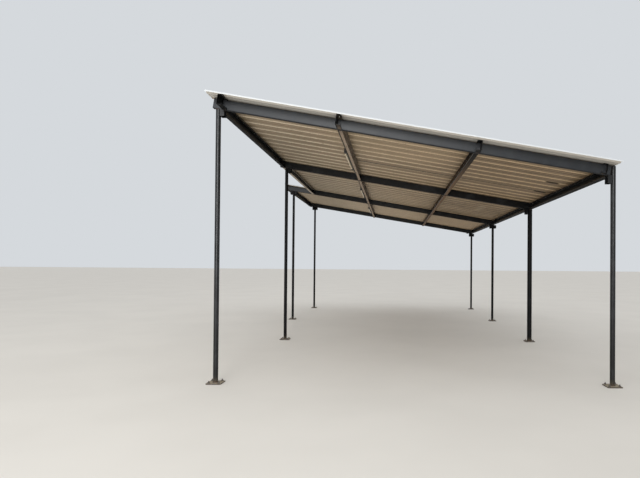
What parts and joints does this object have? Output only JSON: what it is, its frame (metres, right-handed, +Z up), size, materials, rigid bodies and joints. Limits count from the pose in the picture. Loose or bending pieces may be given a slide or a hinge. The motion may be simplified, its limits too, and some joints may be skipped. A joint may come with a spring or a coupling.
{
  "type": "open carport with single-slope roof",
  "caption": "Open carport with a single-slope ribbed steel roof on a black channel frame and slim pipe posts, its last bay wider.",
  "frame": {"origin": "middle of the carport's box, on the floor under the base plates", "axes": "+X down the roof slope towards the low side, +Y from the entrance to the back, +Z up"},
  "size_m": [4.7376, 9.208, 3.0228],
  "materials": {
    "frame_paint": "satin black enamel, weathered",
    "plate_paint": "satin black enamel, dusty",
    "roof_steel": "bare zinc-aluminium coated sheet, dull",
    "lamp_plastic": "opal plastic, yellowed"
  },
  "bodies": {
    "root": {"annex_beam": "frame_paint", "back_annex_base_plate": "plate_paint", "back_annex_cleat": "frame_paint", "back_annex_post": "frame_paint", "back_low_base_plate": "plate_paint", "back_low_cleat": "frame_paint", "back_low_post": "frame_paint", "back_rafter": "frame_paint", "front_high_base_plate": "plate_paint", "front_high_cleat": "frame_paint", "front_high_post": "frame_paint", "front_low_base_plate": "plate_paint", "front_low_cleat": "frame_paint", "front_low_post": "frame_paint", "front_rafter": "frame_paint", "high_beam": "frame_paint", "high_purlin": "frame_paint", "low_beam": "frame_paint", "low_purlin": "frame_paint", "roof_sheet_01": "roof_steel", "roof_sheet_02": "roof_steel", "roof_sheet_03": "roof_steel", "roof_sheet_04": "roof_steel", "roof_sheet_05": "roof_steel", "roof_sheet_06": "roof_steel", "roof_sheet_07": "roof_steel", "roof_sheet_08": "roof_steel", "roof_sheet_09": "roof_steel", "roof_sheet_10": "roof_steel", "roof_sheet_11": "roof_steel", "second_high_base_plate": "plate_paint", "second_high_cleat": "frame_paint", "second_high_post": "frame_paint", "second_low_base_plate": "plate_paint", "second_low_cleat": "frame_paint", "second_low_post": "frame_paint", "second_rafter": "frame_paint", "strip_lamps": "lamp_plastic", "third_annex_base_plate": "plate_paint", "third_annex_cleat": "frame_paint", "third_annex_post": "frame_paint", "third_low_base_plate": "plate_paint", "third_low_cleat": "frame_paint", "third_low_post": "frame_paint", "third_rafter": "frame_paint"}
  },
  "joints": []
}
